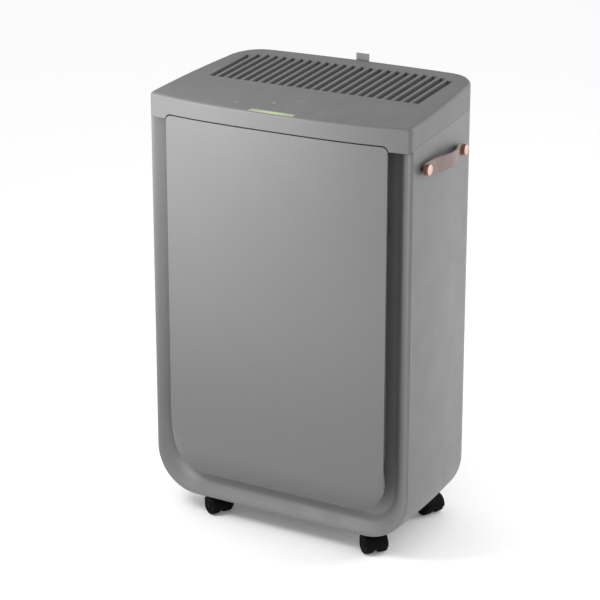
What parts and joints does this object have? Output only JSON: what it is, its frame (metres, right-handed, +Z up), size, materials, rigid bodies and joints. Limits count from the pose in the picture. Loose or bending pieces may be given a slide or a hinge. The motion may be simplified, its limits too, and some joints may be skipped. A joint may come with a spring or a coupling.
{
  "type": "dehumidifier",
  "caption": "Upright household dehumidifier with a floating front panel, slotted outlet deck, leather carry straps, rear filter, slide-out water tank and swivel casters.",
  "frame": {"origin": "on the floor, below the middle of the whole object's box", "axes": "+X to the right seen from the front, -Y towards the front, +Z up"},
  "size_m": [0.375, 0.2198, 0.5612],
  "materials": {
    "body_grey": "fine-grained matt grey moulding",
    "deck_grey": "fine-grained matt grey moulding, a little darker",
    "panel_grey": "satin metallic grey paint",
    "recess_grey": "matt dark grey",
    "inner_black": "matt black moulding",
    "enamel_black": "black enamel on pressed steel",
    "caster_black": "satin black nylon",
    "light_grey": "matt light grey moulding",
    "mesh_black": "woven nylon filter mesh",
    "tank_smoke": "smoke grey translucent moulding",
    "tan_leather": "pinkish brown full-grain leather",
    "rose_copper": "polished rose copper plating",
    "aluminium_fin": "bare aluminium fins",
    "copper_pipe": "bare copper tube",
    "zinc_steel": "zinc-plated steel",
    "board_green": "green circuit board",
    "green_light": "lit yellow-green lens"
  },
  "bodies": {
    "housing": {"accumulator": "enamel_black", "base_pan": "inner_black", "capillary_tube": "copper_pipe", "casing": "body_grey", "chassis_shelf": "inner_black", "compressor": "enamel_black", "condenser": "aluminium_fin", "control_board": "board_green", "cord_gland": "inner_black", "discharge_pipe": "copper_pipe", "drip_tray": "inner_black", "evaporator": "aluminium_fin", "fan_housing": "inner_black", "fan_motor": "zinc_steel", "front_frame": "recess_grey", "front_panel": "panel_grey", "humidity_sensor": "light_grey", "inlet_shroud": "inner_black", "level_switch": "inner_black", "light_bar": "green_light", "outlet_duct": "inner_black", "panel_clip_1": "inner_black", "panel_clip_2": "inner_black", "panel_clip_3": "inner_black", "panel_clip_4": "inner_black", "power_board": "board_green", "rear_cover": "body_grey", "rear_grille": "body_grey", "run_capacitor": "light_grey", "strap_left": "tan_leather", "strap_right": "tan_leather", "stud_left_front": "rose_copper", "stud_left_rear": "rose_copper", "stud_right_front": "rose_copper", "stud_right_rear": "rose_copper", "suction_pipe": "copper_pipe", "tank_divider": "inner_black", "top_cover": "deck_grey"},
    "filter": {"filter_frame": "body_grey", "filter_mesh": "mesh_black"},
    "tank": {"water_tank": "tank_smoke", "tank_lid": "light_grey"},
    "tank_float": {"tank_float": "light_grey"},
    "tank_handle": {"tank_handle": "inner_black"},
    "drain_cap": {"drain_cap": "caster_black"},
    "fan": {"fan_wheel": "inner_black", "motor_shaft": "zinc_steel"},
    "caster_front_left": {"caster_hood_front_left": "caster_black"},
    "wheel_front_left_a": {"caster_wheel_front_left_a": "caster_black"},
    "wheel_front_left_b": {"caster_wheel_front_left_b": "caster_black"},
    "caster_front_right": {"caster_hood_front_right": "caster_black"},
    "wheel_front_right_a": {"caster_wheel_front_right_a": "caster_black"},
    "wheel_front_right_b": {"caster_wheel_front_right_b": "caster_black"},
    "caster_back_left": {"caster_hood_back_left": "caster_black"},
    "wheel_back_left_a": {"caster_wheel_back_left_a": "caster_black"},
    "wheel_back_left_b": {"caster_wheel_back_left_b": "caster_black"},
    "caster_back_right": {"caster_hood_back_right": "caster_black"},
    "wheel_back_right_a": {"caster_wheel_back_right_a": "caster_black"},
    "wheel_back_right_b": {"caster_wheel_back_right_b": "caster_black"}
  },
  "joints": [
    {"name": "filter_slide", "type": "slide", "parent": "housing", "child": "filter", "axis": [0, 0, 1], "range_m": [0, 0.28]},
    {"name": "tank_slide", "type": "slide", "parent": "housing", "child": "tank", "axis": [0, 1, 0], "range_m": [0, 0.165]},
    {"name": "float_hinge", "type": "hinge", "parent": "tank", "child": "tank_float", "pos_m": [0.0335, -0.045, 0.2244], "axis": [1, 0, 0], "range_deg": [0, 7]},
    {"name": "tank_handle_hinge", "type": "hinge", "parent": "tank", "child": "tank_handle", "pos_m": [0.0335, 0.1012, 0.196], "axis": [1, 0, 0], "range_deg": [0, 95]},
    {"name": "drain_cap_pull", "type": "slide", "parent": "housing", "child": "drain_cap", "axis": [0, 1, 0], "range_m": [0, 0.02]},
    {"name": "fan_spin", "type": "hinge", "parent": "housing", "child": "fan", "pos_m": [0, -0.025, 0.375], "axis": [0, 1, 0], "continuous": true},
    {"name": "caster_front_left_swivel", "type": "hinge", "parent": "housing", "child": "caster_front_left", "pos_m": [-0.1125, -0.067, 0.03], "axis": [0, 0, 1], "continuous": true},
    {"name": "wheel_front_left_a_roll", "type": "hinge", "parent": "caster_front_left", "child": "wheel_front_left_a", "pos_m": [-0.10008, -0.07279, 0.012], "axis": [0.4226, 0.9063, 0], "continuous": true},
    {"name": "wheel_front_left_b_roll", "type": "hinge", "parent": "caster_front_left", "child": "wheel_front_left_b", "pos_m": [-0.10008, -0.07279, 0.012], "axis": [0.4226, 0.9063, 0], "continuous": true},
    {"name": "caster_front_right_swivel", "type": "hinge", "parent": "housing", "child": "caster_front_right", "pos_m": [0.1125, -0.067, 0.03], "axis": [0, 0, 1], "continuous": true},
    {"name": "wheel_front_right_a_roll", "type": "hinge", "parent": "caster_front_right", "child": "wheel_front_right_a", "pos_m": [0.12344, -0.07525, 0.012], "axis": [0.6018, 0.7986, 0], "continuous": true},
    {"name": "wheel_front_right_b_roll", "type": "hinge", "parent": "caster_front_right", "child": "wheel_front_right_b", "pos_m": [0.12344, -0.07525, 0.012], "axis": [0.6018, 0.7986, 0], "continuous": true},
    {"name": "caster_back_left_swivel", "type": "hinge", "parent": "housing", "child": "caster_back_left", "pos_m": [-0.1125, 0.067, 0.03], "axis": [0, 0, 1], "continuous": true},
    {"name": "wheel_back_left_a_roll", "type": "hinge", "parent": "caster_back_left", "child": "wheel_back_left_a", "pos_m": [-0.10064, 0.06015, 0.012], "axis": [0.5, 0.866, 0], "continuous": true},
    {"name": "wheel_back_left_b_roll", "type": "hinge", "parent": "caster_back_left", "child": "wheel_back_left_b", "pos_m": [-0.10064, 0.06015, 0.012], "axis": [0.5, 0.866, 0], "continuous": true},
    {"name": "caster_back_right_swivel", "type": "hinge", "parent": "housing", "child": "caster_back_right", "pos_m": [0.1125, 0.067, 0.03], "axis": [0, 0, 1], "continuous": true},
    {"name": "wheel_back_right_a_roll", "type": "hinge", "parent": "caster_back_right", "child": "wheel_back_right_a", "pos_m": [0.12529, 0.06209, 0.012], "axis": [0.3584, 0.9336, 0], "continuous": true},
    {"name": "wheel_back_right_b_roll", "type": "hinge", "parent": "caster_back_right", "child": "wheel_back_right_b", "pos_m": [0.12529, 0.06209, 0.012], "axis": [0.3584, 0.9336, 0], "continuous": true}
  ]
}
